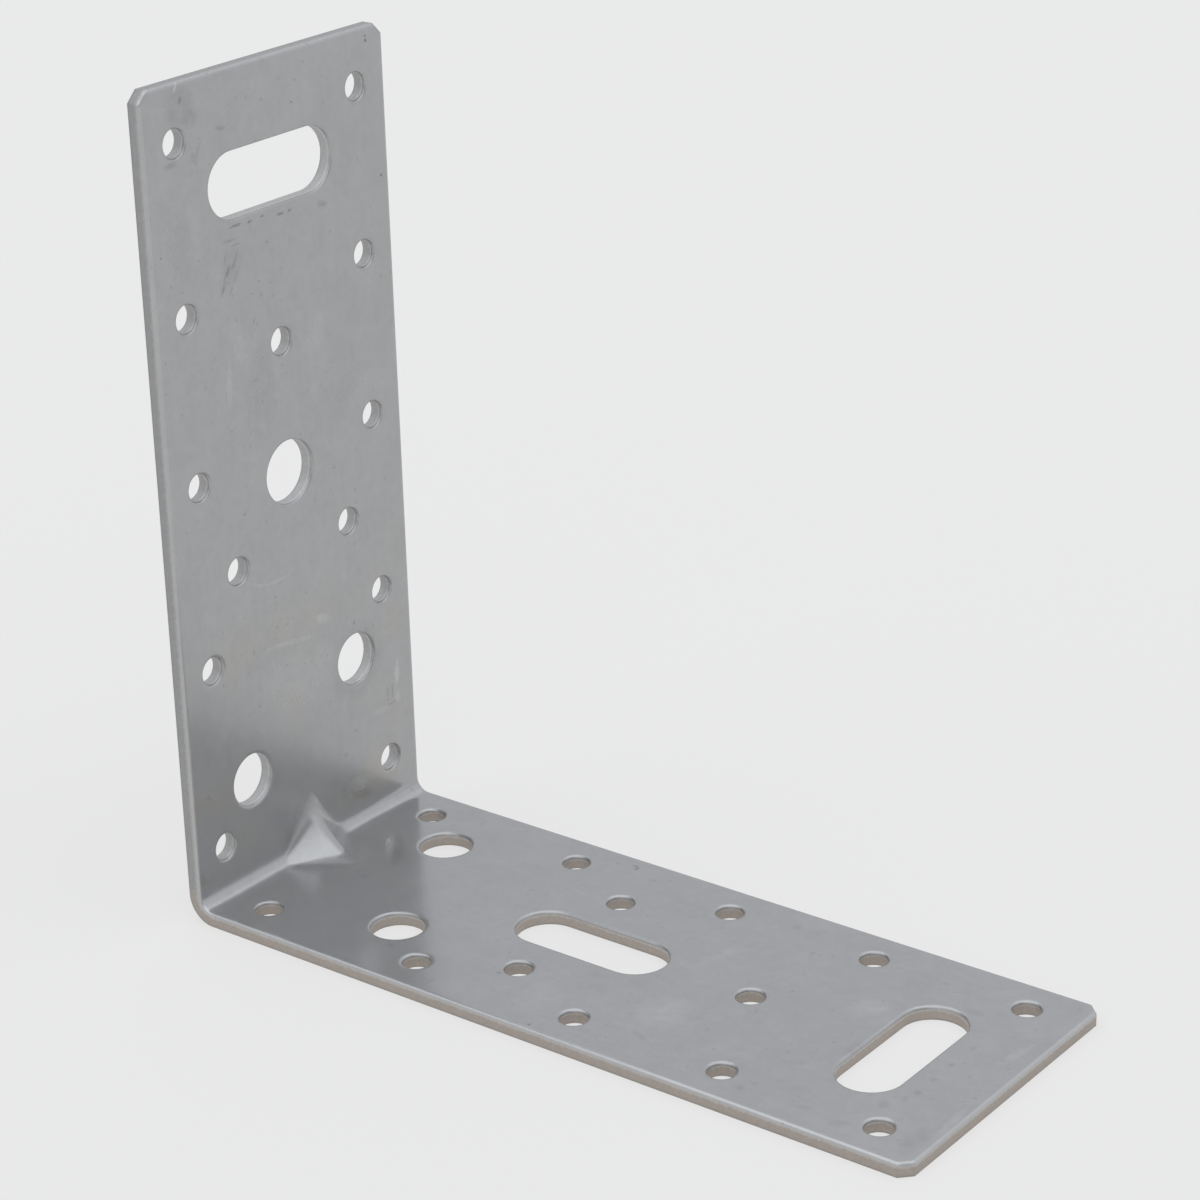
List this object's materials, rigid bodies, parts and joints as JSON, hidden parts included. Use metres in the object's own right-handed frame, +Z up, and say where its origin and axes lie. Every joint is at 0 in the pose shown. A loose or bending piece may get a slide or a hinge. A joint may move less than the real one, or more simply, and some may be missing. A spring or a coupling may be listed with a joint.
{
  "type": "angle bracket",
  "caption": "Folded sheet-steel angle bracket with two equal perforated legs, nail and bolt holes, long slots and a small pressed gusset in the fold.",
  "frame": {"origin": "middle of the whole part's footprint, on the base leg's outer face", "axes": "+X along the base leg from the fold to its end, +Y across the strip, +Z up along the upright leg"},
  "size_m": [0.15, 0.06, 0.15],
  "materials": {
    "steel": "satin, bare rolled sheet with sheared edges"
  },
  "bodies": {
    "root": {"bracket": "steel"}
  },
  "joints": []
}
